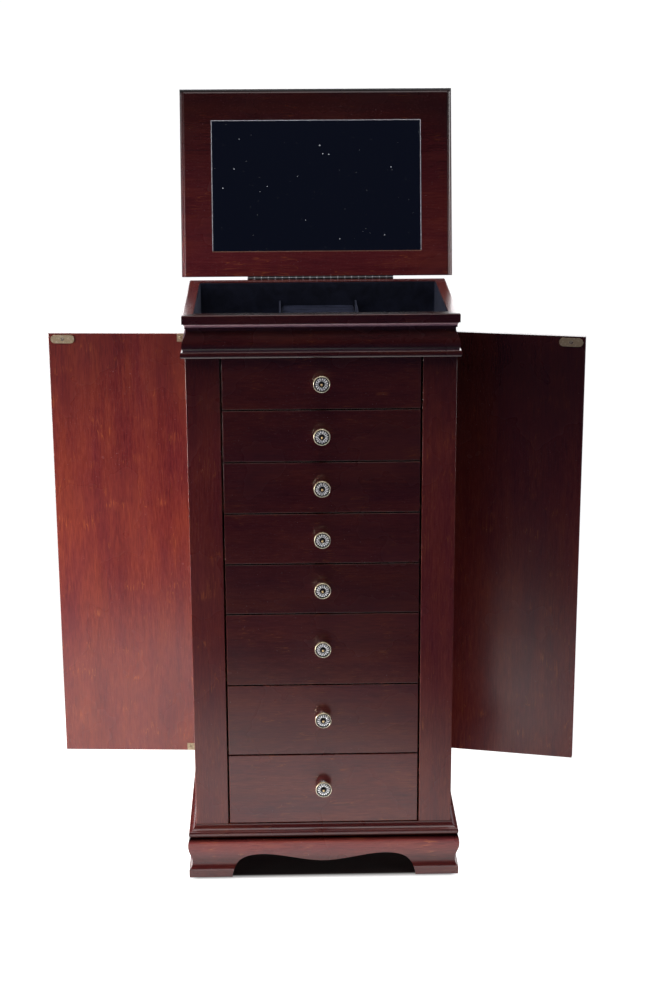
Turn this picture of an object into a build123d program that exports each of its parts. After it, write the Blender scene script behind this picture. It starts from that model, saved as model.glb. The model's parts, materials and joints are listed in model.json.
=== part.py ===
from build123d import *
import os

# A free-standing jewelry armoire: a case of drawers between two wide posts, a lidded tray on top
# with a mirror in the lid, and a necklace compartment behind a hinged door on each side.
# Millimetres. +X is the right-hand side seen from the front, -Y the front, +Z up.
# The origin is on the floor, at the middle of the case's width and depth.
# The lid and the doors are modelled shut and then turned to the open pose they rest in.

# ---------------------------------------------------------------- driving dimensions
CASE_WIDTH = 449.0
CASE_DEPTH = 318.0
CASE_FLOOR = 100.0            # top of the bottom board
SHORT_PITCH = 89.8            # height taken by each of the five upper drawers
TALL_PITCH = 130.4            # and by each of the three lower ones
SHORT_DRAWERS = 5
TALL_DRAWERS = 3
POST_WIDTH = 56.5
CORNICE_HEIGHT = 71.2
RIM_DEPTH = 14.5              # how far the cornice's back reaches inside the case's faces
LID_WIDTH = 485.5
LID_DEPTH = 333.0
LID_THICKNESS = 18.0
LID_OPEN = 103.0              # degrees from shut, against the hinge's stop
LEFT_DOOR_OPEN = 93.0         # degrees from shut, as it stands
RIGHT_DOOR_OPEN = 76.6
DOOR_WIDTH = 255.0
DOOR_THICKNESS = 12.0

# ---------------------------------------------------------------- derived and detail sizes
HALF_WIDTH = CASE_WIDTH / 2
FRONT = -CASE_DEPTH / 2
REAR = CASE_DEPTH / 2
DECK_BOTTOM = CASE_FLOOR + SHORT_DRAWERS * SHORT_PITCH + TALL_DRAWERS * TALL_PITCH
RIM_TOP = DECK_BOTTOM + CORNICE_HEIGHT

BOARD = 18.0                  # post face boards and drawer fronts
INNER_WALL = 9.0
BACK_PANEL = 7.0
BACK_FACE = REAR - BACK_PANEL
BOTTOM_BOARD = 20.0
OPENING_HALF = HALF_WIDTH - POST_WIDTH
TOP_DECK = 9.0
TOP_BOX_BACK = 20.0
LINING = 1.5

AXIS_OUT = 2.5                # door hinge pin outside the case's side face
DOOR_AXIS_X = HALF_WIDTH + AXIS_OUT
DOOR_AXIS_Y = BACK_FACE - 1.0
DOOR_REAR = DOOR_AXIS_Y - 1.0
DOOR_FRONT = DOOR_REAR - DOOR_WIDTH
DOOR_BOTTOM = CASE_FLOOR + 11.5
DOOR_TOP = DECK_BOTTOM - 20.7
DOOR_INNER = HALF_WIDTH - DOOR_THICKNESS
DOOR_GAP = 2.2

HINGE_HEIGHT = 14.0
HINGE_LEAF = 1.0
HINGE_REACH = 25.0
KNUCKLE_RADIUS = 2.3

STRIKE_LENGTH = 42.6
STRIKE_HEIGHT = 15.4
STRIKE_THICKNESS = 1.2
CATCH_GAP = 0.3

LID_AXIS_Y = REAR + 4.5
LID_AXIS_Z = RIM_TOP + 1.3
LID_BOTTOM = RIM_TOP + 2.6
PIANO_START = -125.0
PIANO_END = 136.0
PIANO_KNUCKLES = 21
PIANO_RADIUS = 2.8
PIN_RADIUS = 1.1
RUNNING_CLEARANCE = 0.1

MIRROR_HALF_WIDTH = 187.3
MIRROR_NEAR = 43.0            # mirror's edges, measured from the lid's rear edge
MIRROR_FAR = 276.8
MIRROR_THICKNESS = 2.8
MIRROR_RECESS = 3.0

FRONT_GAP = 2.5
SIDE_GAP = 3.0
RUNNER_HEIGHT = 6.0
RUNNER_WIDTH = 12.0
BOX_WALL = 9.0
BOX_REAR = 125.0
BOX_FLOOR = 4.0
KNOB_RISE_SHORT = 2.5         # knob above the middle of its drawer front
KNOB_RISE_TALL = 6.0

FOOT_BOTTOM = 3.0
SKIRT_TOP = CASE_FLOOR - BOTTOM_BOARD
FOOT_INNER = 162.0            # where the front apron's cut starts, from the middle


# ---------------------------------------------------------------- helpers
def board(x0, x1, y0, y1, z0, z1):
    """A straight board between two opposite corners."""
    size = Box(x1 - x0, y1 - y0, z1 - z0)
    return Pos((x0 + x1) / 2, (y0 + y1) / 2, (z0 + z1) / 2) * size


def mirrored(shape):
    """The same piece on the other side of the case."""
    return mirror(shape, about=Plane.YZ)


def flat_polygon(points, z0, z1):
    """A prism standing on z0, with the given plan outline."""
    outline = make_face(Polyline(*points, close=True))
    return Pos(0, 0, z0) * extrude(outline, z1 - z0)


def run_along_front(outline, half_length):
    """Extrude a moulding section, drawn as (outward, height), along the case's front."""
    section = Plane(origin=(-half_length, FRONT, 0), x_dir=(0, -1, 0), z_dir=(-1, 0, 0)) * outline
    return extrude(section, 2 * half_length, dir=(1, 0, 0))


def run_along_right(outline, y_end):
    """Extrude the same section along the case's right side, from past the front corner."""
    start = FRONT - 30
    section = Plane(origin=(HALF_WIDTH, start, 0), x_dir=(1, 0, 0), z_dir=(0, -1, 0)) * outline
    return extrude(section, y_end - start, dir=(0, 1, 0))


def mitre_front(shape, inward, z0, z1):
    """Keep what lies in front of the 45 degree mitre planes of the two front corners."""
    out = 30.0
    plan = [
        (-HALF_WIDTH - out, FRONT - out),
        (HALF_WIDTH + out, FRONT - out),
        (HALF_WIDTH - inward, FRONT + inward),
        (-HALF_WIDTH + inward, FRONT + inward),
    ]
    return shape & flat_polygon(plan, z0, z1)


def mitre_right(shape, inward, z0, z1):
    """Keep what lies beside the mitre plane of the right front corner."""
    out = 30.0
    plan = [
        (HALF_WIDTH + out, FRONT - out),
        (HALF_WIDTH + out, REAR + 1),
        (HALF_WIDTH - inward, REAR + 1),
        (HALF_WIDTH - inward, FRONT + inward),
    ]
    return shape & flat_polygon(plan, z0, z1)


def export(name, *solids):
    """Write one sub-part; a group of separate pieces goes in as a compound."""
    shape = solids[0] if len(solids) == 1 else Compound(children=list(solids))
    export_step(shape, "parts/" + name + ".step")


def section_face(*edges):
    """A closed moulding section from its edges."""
    return make_face(Wire(list(edges)))


# ---------------------------------------------------------------- moulding sections
def cornice_section():
    """Bottom bead, notch, long ogee, two fine steps and a square fillet rounded at the rim."""
    z = DECK_BOTTOM
    return section_face(
        Line((-RIM_DEPTH, z), (5.8, z)),
        ThreePointArc((5.8, z), (7.7, z + 5), (5.8, z + 10)),
        Line((5.8, z + 10), (3.4, z + 10)),
        Line((3.4, z + 10), (3.4, z + 12.5)),
        Spline((3.4, z + 12.5), (5.1, z + 21), (2.2, z + 31.5), (-1.6, z + 40), (-2.3, z + 48)),
        Line((-2.3, z + 48), (-0.3, z + 48)),
        Line((-0.3, z + 48), (-0.3, z + 51.5)),
        ThreePointArc((-0.3, z + 51.5), (0.8, z + 54.6), (3.0, z + 56.5)),
        Line((3.0, z + 56.5), (4.2, z + 56.5)),
        Line((4.2, z + 56.5), (4.2, z + CORNICE_HEIGHT - 2.5)),
        ThreePointArc((4.2, z + CORNICE_HEIGHT - 2.5), (3.5, z + CORNICE_HEIGHT - 0.7),
                      (1.7, z + CORNICE_HEIGHT)),
        Line((1.7, z + CORNICE_HEIGHT), (-RIM_DEPTH, z + CORNICE_HEIGHT)),
        Line((-RIM_DEPTH, z + CORNICE_HEIGHT), (-RIM_DEPTH, z)),
    )


def base_section():
    """A small step, a falling cove and a half-round bead at the bottom."""
    z = SKIRT_TOP
    return section_face(
        Line((0, z), (11.6, z)),
        ThreePointArc((11.6, z), (13.4, z + 4.6), (12.4, z + 9.2)),
        Line((12.4, z + 9.2), (11.2, z + 9.8)),
        ThreePointArc((11.2, z + 9.8), (5.6, z + 12.6), (2.9, z + 17.4)),
        Line((2.9, z + 17.4), (1.4, z + 17.9)),
        Line((1.4, z + 17.9), (1.4, z + 19.6)),
        Line((1.4, z + 19.6), (0, z + 19.6)),
        Line((0, z + 19.6), (0, z)),
    )


def skirt_section():
    """An ogee bracket: a full swell over a hollow, with a square block at the foot."""
    inner = -4.0
    return section_face(
        Line((inner, FOOT_BOTTOM), (14.0, FOOT_BOTTOM)),
        Line((14.0, FOOT_BOTTOM), (14.0, 16.5)),
        Line((14.0, 16.5), (12.2, 18.0)),
        Spline((12.2, 18.0), (8.6, 25.5), (8.2, 34.0), (12.2, 47.5), (15.1, 60.0), (14.2, 71.5), (11.0, 79.0)),
        Line((11.0, 79.0), (11.0, SKIRT_TOP)),
        Line((11.0, SKIRT_TOP), (inner, SKIRT_TOP)),
        Line((inner, SKIRT_TOP), (inner, FOOT_BOTTOM)),
    )


def scallop(foot_inner, thick, peak_at):
    """The cut under an apron: rises beside each foot, then droops to the middle."""
    half = [(foot_inner, 0), (foot_inner - 4, 20), (foot_inner - 17, 36), (peak_at, 45.5), (peak_at * 0.5, 37.6)]
    other = [(-x, z) for x, z in reversed(half)]
    edge = Spline(*half, (0, 30.0), *other)
    face = make_face(Wire([edge, Line((-foot_inner, 0), (foot_inner, 0))]))
    return extrude(Plane.XZ * face, thick, both=True)


def lid_section(z):
    """The lid's edge seen from the side: (outward of the lid's own edge, height)."""
    return section_face(
        Line((-12, z), (-9.3, z)),
        Line((-9.3, z), (-9.3, z + 1.4)),
        ThreePointArc((-9.3, z + 1.4), (-4.6, z + 3.0), (-1.9, z + 7.0)),
        Line((-1.9, z + 7.0), (-1.0, z + 7.4)),
        ThreePointArc((-1.0, z + 7.4), (0, z + 11.0), (-1.0, z + 14.6)),
        ThreePointArc((-1.0, z + 14.6), (-2.4, z + 17.1), (-5.0, z + LID_THICKNESS)),
        Line((-5.0, z + LID_THICKNESS), (-12, z + LID_THICKNESS)),
        Line((-12, z + LID_THICKNESS), (-12, z)),
    )


# ---------------------------------------------------------------- case
def make_case():
    def post():
        face = board(OPENING_HALF, HALF_WIDTH, FRONT, FRONT + BOARD, CASE_FLOOR, DECK_BOTTOM)
        rounded = fillet(face.edges().filter_by(Axis.Z).group_by(Axis.Y)[0], 1.2)
        stile = board(DOOR_INNER, HALF_WIDTH, FRONT + BOARD, DOOR_FRONT - DOOR_GAP, CASE_FLOOR, DECK_BOTTOM)
        return rounded, stile

    right = post()
    export("right_post", *right)
    export("left_post", *[mirrored(piece) for piece in right])

    wall = board(OPENING_HALF, OPENING_HALF + INNER_WALL, FRONT + BOARD, BACK_FACE, CASE_FLOOR, DECK_BOTTOM)
    export("inner_walls", wall, mirrored(wall))
    export("bottom_board", board(-HALF_WIDTH, HALF_WIDTH, FRONT, REAR, SKIRT_TOP, CASE_FLOOR))
    deck_half = HALF_WIDTH - RIM_DEPTH
    export("top_deck", board(-deck_half, deck_half, FRONT + RIM_DEPTH, REAR - TOP_BOX_BACK,
                             DECK_BOTTOM, DECK_BOTTOM + TOP_DECK))
    export("back_panel", board(-HALF_WIDTH, HALF_WIDTH, BACK_FACE, REAR, CASE_FLOOR, DECK_BOTTOM))

    rail_inner = DOOR_INNER - 22
    rails = [
        board(rail_inner, HALF_WIDTH, DOOR_FRONT - DOOR_GAP, BACK_FACE, DOOR_TOP + DOOR_GAP, DECK_BOTTOM),
        board(rail_inner, HALF_WIDTH, DOOR_FRONT - DOOR_GAP, BACK_FACE, CASE_FLOOR, DOOR_BOTTOM - DOOR_GAP),
    ]
    export("side_rails", *rails, *[mirrored(rail) for rail in rails])

    runners = []
    for bottom, _ in drawer_levels():
        strip = board(OPENING_HALF - RUNNER_WIDTH, OPENING_HALF, FRONT + BOARD + 4, BOX_REAR,
                      bottom, bottom + RUNNER_HEIGHT)
        runners += [strip, mirrored(strip)]
    export("drawer_runners", *runners)


def drawer_levels():
    """Bottom and height of each drawer's space, from the top drawer down."""
    levels = []
    top = DECK_BOTTOM
    for pitch in [SHORT_PITCH] * SHORT_DRAWERS + [TALL_PITCH] * TALL_DRAWERS:
        top -= pitch
        levels.append((top, pitch))
    return levels


# ---------------------------------------------------------------- top box
def make_top_box():
    low = DECK_BOTTOM - 1
    high = RIM_TOP + 1
    section = cornice_section()
    front = mitre_front(run_along_front(section, HALF_WIDTH + 20), RIM_DEPTH, low, high)
    right = mitre_right(run_along_right(section, REAR), RIM_DEPTH, low, high)
    export("cornice_front", front)
    export("cornice_right", right)
    export("cornice_left", mirrored(right))

    half = HALF_WIDTH - RIM_DEPTH
    rear = REAR - TOP_BOX_BACK
    front_wall = FRONT + RIM_DEPTH
    floor = DECK_BOTTOM + TOP_DECK
    export("top_box_back", board(-half, half, rear, REAR, DECK_BOTTOM, RIM_TOP))

    lining_top = RIM_TOP - 1.5
    lining_floor = floor + LINING
    side = board(half - LINING, half, front_wall, rear, lining_floor, lining_top)
    export(
        "top_box_lining",
        board(-half, half, front_wall, rear, floor, lining_floor),
        board(-half + LINING, half - LINING, front_wall, front_wall + LINING, lining_floor, lining_top),
        board(-half + LINING, half - LINING, rear - LINING, rear, lining_floor, lining_top),
        side,
        mirrored(side),
    )

    bed_half = 66.0
    bed_front = front_wall + LINING
    bed_rear = rear - LINING
    divider = board(bed_half, bed_half + 3, bed_front, bed_rear, lining_floor, lining_floor + 27)
    export("tray_dividers", divider, mirrored(divider))
    bed = board(-bed_half + 0.5, bed_half - 0.5, bed_front + 0.5, bed_rear - 0.5,
                lining_floor, lining_floor + 20)
    export("ring_roll_bed", bed)


# ---------------------------------------------------------------- base
def make_base():
    low = FOOT_BOTTOM - 1
    high = CASE_FLOOR + 1
    section = base_section()
    front = mitre_front(run_along_front(section, HALF_WIDTH + 20), 5, low, high)
    right = mitre_right(run_along_right(section, REAR), 5, low, high)
    export("base_moulding", front, right, mirrored(right))

    skirt = skirt_section()
    inward = 4.0
    front = mitre_front(run_along_front(skirt, HALF_WIDTH + 20), inward, low, high)
    front -= Pos(0, FRONT, 0) * scallop(FOOT_INNER, 40, 112)
    export("front_skirt", front)

    side_foot = CASE_DEPTH / 2 - (HALF_WIDTH - FOOT_INNER)
    side_cut = Pos(HALF_WIDTH, 0, 0) * Rot(0, 0, 90) * scallop(side_foot, 40, side_foot - 44)
    right = mitre_right(run_along_right(skirt, REAR), inward, low, high) - side_cut
    export("side_skirts", right, mirrored(right))

    rear = board(-HALF_WIDTH + inward, HALF_WIDTH - inward, REAR - 12, REAR, FOOT_BOTTOM, SKIRT_TOP)
    rear -= Pos(0, REAR, 0) * scallop(FOOT_INNER, 40, 112)
    export("rear_skirt", rear)

    size = 34.0
    x1 = HALF_WIDTH - inward
    front_block = board(x1 - size, x1, FRONT + inward, FRONT + inward + size, FOOT_BOTTOM, SKIRT_TOP)
    rear_block = board(x1 - size, x1, REAR - 12 - size, REAR - 12, FOOT_BOTTOM, SKIRT_TOP)
    export("corner_blocks", front_block, mirrored(front_block), rear_block, mirrored(rear_block))

    pad = 30.0
    glides = []
    for y in (FRONT + 12, REAR - 21):
        glide = Pos(HALF_WIDTH - 12, y, FOOT_BOTTOM / 2) * Box(pad, pad, FOOT_BOTTOM)
        glide = fillet(glide.edges().filter_by(Axis.Z), 3)
        glides += [glide, mirrored(glide)]
    export("foot_glides", *glides)


# ---------------------------------------------------------------- drawers
def knob():
    """A turned knob pointing to the front from the origin: base, neck, dished head and nub."""
    outline = make_face(Wire([
        Line((0, 0), (8.5, 0)),
        Line((8.5, 0), (8.5, 1.6)),
        ThreePointArc((8.5, 1.6), (6.2, 4.4), (5.2, 8.0)),
        ThreePointArc((5.2, 8.0), (6.4, 11.6), (10.5, 13.2)),
        ThreePointArc((10.5, 13.2), (14.2, 16.2), (12.6, 20.2)),
        ThreePointArc((12.6, 20.2), (8.2, 21.3), (4.2, 21.0)),
        ThreePointArc((4.2, 21.0), (3.2, 22.6), (1.5, 23.6)),
        Line((1.5, 23.6), (0, 23.6)),
        Line((0, 23.6), (0, 0)),
    ]))
    turned = revolve(Plane.XZ * outline, Axis.Z)
    return Rot(90, 0, 0) * turned


def make_drawers():
    inside = OPENING_HALF - SIDE_GAP
    for number, (bottom, pitch) in enumerate(drawer_levels(), start=1):
        name = "drawer_" + str(number)
        front = board(-inside, inside, FRONT, FRONT + BOARD,
                      bottom + FRONT_GAP / 2, bottom + pitch - FRONT_GAP / 2)
        front = fillet(front.faces().sort_by(Axis.Y)[0].edges(), 0.8)
        export(name + "_front", front)

        half = OPENING_HALF - 5
        box_bottom = bottom + RUNNER_HEIGHT + 0.3
        box_top = bottom + pitch - 8
        y0 = FRONT + BOARD
        side = board(half - BOX_WALL, half, y0, BOX_REAR, box_bottom, box_top)
        inner = half - BOX_WALL
        back = board(-inner, inner, BOX_REAR - BOX_WALL, BOX_REAR, box_bottom, box_top)
        floor = board(-inner, inner, y0, BOX_REAR - BOX_WALL, box_bottom + 3, box_bottom + 3 + BOX_FLOOR)
        export(name + "_box", side, mirrored(side), back, floor)

        rise = KNOB_RISE_SHORT if pitch == SHORT_PITCH else KNOB_RISE_TALL
        export(name + "_knob", Pos(0, FRONT, bottom + pitch / 2 + rise) * knob())


# ---------------------------------------------------------------- lid and its hinge
def opened_lid(shape):
    """Turn a piece of the shut lid back about the hinge pin."""
    return shape.rotate(Axis((0, LID_AXIS_Y, LID_AXIS_Z), (1, 0, 0)), -LID_OPEN)


def piano_leaf(z0, z1, web_z0, web_z1, own_first, bore):
    """A leaf on the rear faces, with a knuckle on every second stretch of the pin."""
    leaf = board(PIANO_START, PIANO_END, REAR, REAR + 1.5, z0, z1)
    web = board(PIANO_START, PIANO_END, REAR, LID_AXIS_Y, web_z0, web_z1)
    middle = (PIANO_START + PIANO_END) / 2
    length = PIANO_END - PIANO_START
    barrel = Pos(middle, LID_AXIS_Y, LID_AXIS_Z) * Rot(0, 90, 0) * Cylinder(PIANO_RADIUS, length)
    whole = leaf + web + barrel
    hole = Pos(middle, LID_AXIS_Y, LID_AXIS_Z) * Rot(0, 90, 0) * Cylinder(bore, length + 2)
    whole -= hole
    pitch = length / PIANO_KNUCKLES
    for index in range(PIANO_KNUCKLES):
        if (index % 2 == 0) == own_first:
            continue
        x0 = PIANO_START + index * pitch - 0.15
        whole -= board(x0, x0 + pitch + 0.3, REAR + 1.5, LID_AXIS_Y + 4, LID_AXIS_Z - 4, LID_AXIS_Z + 4)
    return whole


def make_lid():
    front_y = REAR - LID_DEPTH
    half = LID_WIDTH / 2
    z0 = LID_BOTTOM
    z1 = LID_BOTTOM + LID_THICKNESS
    core = board(-half + 12, half - 12, front_y + 12, REAR, z0, z1)
    section = lid_section(z0)
    across = Plane(origin=(-half, front_y, 0), x_dir=(0, -1, 0), z_dir=(-1, 0, 0)) * section
    front = extrude(across, LID_WIDTH, dir=(1, 0, 0))
    front &= flat_polygon([(-half - 1, front_y - 1), (half + 1, front_y - 1),
                           (half - 14, front_y + 14), (-half + 14, front_y + 14)], z0 - 1, z1 + 1)
    along = Plane(origin=(half, front_y, 0), x_dir=(1, 0, 0), z_dir=(0, -1, 0)) * section
    right = extrude(along, LID_DEPTH, dir=(0, 1, 0))
    right &= flat_polygon([(half + 1, front_y - 1), (half + 1, REAR + 1),
                           (half - 14, REAR + 1), (half - 14, front_y + 14)], z0 - 1, z1 + 1)
    panel = core + front + right + mirrored(right)
    far = REAR - MIRROR_FAR
    near = REAR - MIRROR_NEAR
    panel -= board(-MIRROR_HALF_WIDTH, MIRROR_HALF_WIDTH, far, near, z0 - 1, z0 + MIRROR_RECESS)
    export("lid_panel", opened_lid(panel))

    glass_bottom = z0 + MIRROR_RECESS - MIRROR_THICKNESS
    glass = board(-MIRROR_HALF_WIDTH, MIRROR_HALF_WIDTH, far, near, glass_bottom, z0 + MIRROR_RECESS)
    glass = chamfer(glass.faces().sort_by(Axis.Z)[0].edges(), 0.9)
    export("mirror", opened_lid(glass))

    case_leaf = piano_leaf(LID_AXIS_Z - 15, LID_AXIS_Z - 1.3, LID_AXIS_Z - 2.8, LID_AXIS_Z - 1.5, True,
                           PIN_RADIUS)
    lid_leaf = piano_leaf(LID_AXIS_Z + 1.3, LID_AXIS_Z + 14, LID_AXIS_Z + 1.5, LID_AXIS_Z + 2.8, False,
                          PIN_RADIUS + RUNNING_CLEARANCE)
    export("piano_hinge_case_leaf", case_leaf)
    export("piano_hinge_lid_leaf", opened_lid(lid_leaf))
    middle = (PIANO_START + PIANO_END) / 2
    pin = Pos(middle, LID_AXIS_Y, LID_AXIS_Z) * Rot(0, 90, 0) * Cylinder(PIN_RADIUS, PIANO_END - PIANO_START)
    export("piano_hinge_pin", pin)


# ---------------------------------------------------------------- side doors
def door_hinge_levels():
    """Bottoms of the two hinges on each door."""
    return DOOR_BOTTOM + 0.5, DOOR_TOP - 0.5 - HINGE_HEIGHT


def door_leaf(z0):
    """The door's half: round the door's rear edge onto its inner face, with the lower knuckle."""
    height = HINGE_HEIGHT
    middle = z0 + height / 2
    edge = board(DOOR_INNER - HINGE_LEAF, DOOR_AXIS_X, DOOR_REAR, DOOR_REAR + HINGE_LEAF, z0, z0 + height)
    face = board(DOOR_INNER - HINGE_LEAF, DOOR_INNER, DOOR_AXIS_Y - HINGE_REACH, DOOR_REAR + HINGE_LEAF,
                 z0, z0 + height)
    knuckle = Pos(DOOR_AXIS_X, DOOR_AXIS_Y, z0 + height / 4) * Cylinder(KNUCKLE_RADIUS, height / 2)
    upper = board(HALF_WIDTH - 0.2, DOOR_AXIS_X + 4, DOOR_AXIS_Y - 4, DOOR_AXIS_Y + 4,
                  middle - 0.2, z0 + height + 1)
    bore = Pos(DOOR_AXIS_X, DOOR_AXIS_Y, middle) * Cylinder(PIN_RADIUS + RUNNING_CLEARANCE, height + 2)
    screw_hole = Pos(DOOR_INNER, DOOR_AXIS_Y - 18.9, middle) * Rot(0, 90, 0) * Cylinder(1.7, 6)
    return edge + face + knuckle - upper - bore - screw_hole


def case_leaf(z0):
    """The case's half: on the back panel's edge, with the upper knuckle and the pin."""
    height = HINGE_HEIGHT
    middle = z0 + height / 2
    plate = board(HALF_WIDTH, HALF_WIDTH + HINGE_LEAF, DOOR_AXIS_Y + 2.8, REAR, z0, z0 + height)
    link = board(HALF_WIDTH, HALF_WIDTH + 1.6, DOOR_AXIS_Y + 1.1, DOOR_AXIS_Y + 4, middle + 0.2, z0 + height)
    knuckle = Pos(DOOR_AXIS_X, DOOR_AXIS_Y, z0 + height * 0.75 + 0.1)
    knuckle *= Cylinder(KNUCKLE_RADIUS, height / 2 - 0.2)
    pin = Pos(DOOR_AXIS_X, DOOR_AXIS_Y, middle) * Cylinder(PIN_RADIUS, height)
    return plate + link + knuckle + pin


def opened_right(shape):
    """Swing a piece of the shut right door outward about its hinge pins."""
    return shape.rotate(Axis((DOOR_AXIS_X, DOOR_AXIS_Y, 0), (0, 0, 1)), RIGHT_DOOR_OPEN)


def opened_left(shape):
    """The mirror image of a right-hand piece, swung to where the left door stands."""
    swung = shape.rotate(Axis((DOOR_AXIS_X, DOOR_AXIS_Y, 0), (0, 0, 1)), LEFT_DOOR_OPEN)
    return mirrored(swung)


def make_doors():
    panel = board(DOOR_INNER, HALF_WIDTH, DOOR_FRONT, DOOR_REAR, DOOR_BOTTOM, DOOR_TOP)
    panel = fillet(panel.edges().filter_by(Axis.Z), 0.8)
    strike_y = DOOR_FRONT + 3.9 + STRIKE_LENGTH / 2
    strike_z = DOOR_TOP - 3.0 - STRIKE_HEIGHT / 2
    plate = SlotOverall(STRIKE_LENGTH, STRIKE_HEIGHT)
    strike = extrude(Plane.YZ * plate, STRIKE_THICKNESS)
    strike = Pos(DOOR_INNER - STRIKE_THICKNESS, strike_y, strike_z) * strike
    leaves = [door_leaf(z0) for z0 in door_hinge_levels()]

    export("right_door", opened_right(panel))
    export("left_door", opened_left(panel))
    export("right_strike_plate", opened_right(strike))
    export("left_strike_plate", opened_left(strike))
    export("right_door_hinges", *[opened_right(leaf) for leaf in leaves])
    export("left_door_hinges", *[opened_left(leaf) for leaf in leaves])

    case_side = [case_leaf(z0) for z0 in door_hinge_levels()]
    export("case_hinge_leaves", *case_side, *[mirrored(leaf) for leaf in case_side])

    catch_face = DOOR_INNER - STRIKE_THICKNESS - CATCH_GAP
    catch = board(catch_face - 20, catch_face, strike_y - 22, strike_y + 22,
                  strike_z - 9, DOOR_TOP + DOOR_GAP)
    export("catch_magnets", catch, mirrored(catch))


# ---------------------------------------------------------------- necklace compartments
def make_necklace_fittings():
    wall = OPENING_HALF + INNER_WALL
    rail_bottom = 868.0
    rail = board(wall, wall + 8, -98, 128, rail_bottom, rail_bottom + 25)
    export("hook_rails", rail, mirrored(rail))

    hooks = []
    count = 6
    for index in range(count):
        y = 15 + (index - (count - 1) / 2) * 38
        start = wall + 8
        z = rail_bottom + 10
        route = FilletPolyline((start, y, z), (start + 14, y, z), (start + 17, y, z + 9), radius=3)
        wire = sweep(Plane(origin=route @ 0, z_dir=route % 0) * Circle(1.3), path=route)
        hooks += [wire, mirrored(wire)]
    export("necklace_hooks", *hooks)


os.makedirs("parts", exist_ok=True)
make_case()
make_top_box()
make_base()
make_drawers()
make_lid()
make_doors()
make_necklace_fittings()
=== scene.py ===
import json
import math
import random

import bpy
from mathutils import Matrix, Vector


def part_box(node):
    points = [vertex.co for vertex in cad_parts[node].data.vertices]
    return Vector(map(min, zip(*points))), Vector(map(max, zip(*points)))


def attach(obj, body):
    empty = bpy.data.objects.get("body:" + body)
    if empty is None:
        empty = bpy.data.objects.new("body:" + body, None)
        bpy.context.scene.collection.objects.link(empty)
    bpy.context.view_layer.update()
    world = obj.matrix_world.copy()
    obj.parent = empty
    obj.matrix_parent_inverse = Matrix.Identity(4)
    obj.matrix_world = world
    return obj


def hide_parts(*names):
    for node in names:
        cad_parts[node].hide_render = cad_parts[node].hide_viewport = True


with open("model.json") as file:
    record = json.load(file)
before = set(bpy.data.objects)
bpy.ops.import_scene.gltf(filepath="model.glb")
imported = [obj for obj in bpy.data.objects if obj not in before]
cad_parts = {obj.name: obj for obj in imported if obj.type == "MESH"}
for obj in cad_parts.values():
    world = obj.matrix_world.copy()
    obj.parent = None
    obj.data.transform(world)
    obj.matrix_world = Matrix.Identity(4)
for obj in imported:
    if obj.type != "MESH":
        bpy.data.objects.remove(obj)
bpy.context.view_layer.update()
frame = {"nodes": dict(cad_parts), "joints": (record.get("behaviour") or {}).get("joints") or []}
joints = {joint["name"]: joint for joint in frame["joints"]}

MM = 0.001
KNOB_RADIUS = 14.3 * MM
PETALS = 15
PETAL_INNER = 4.9 * MM
PETAL_OUTER = 11.0 * MM
PETAL_RISE = 1.9 * MM
KNOB_FACE = 18.3 * MM


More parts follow.
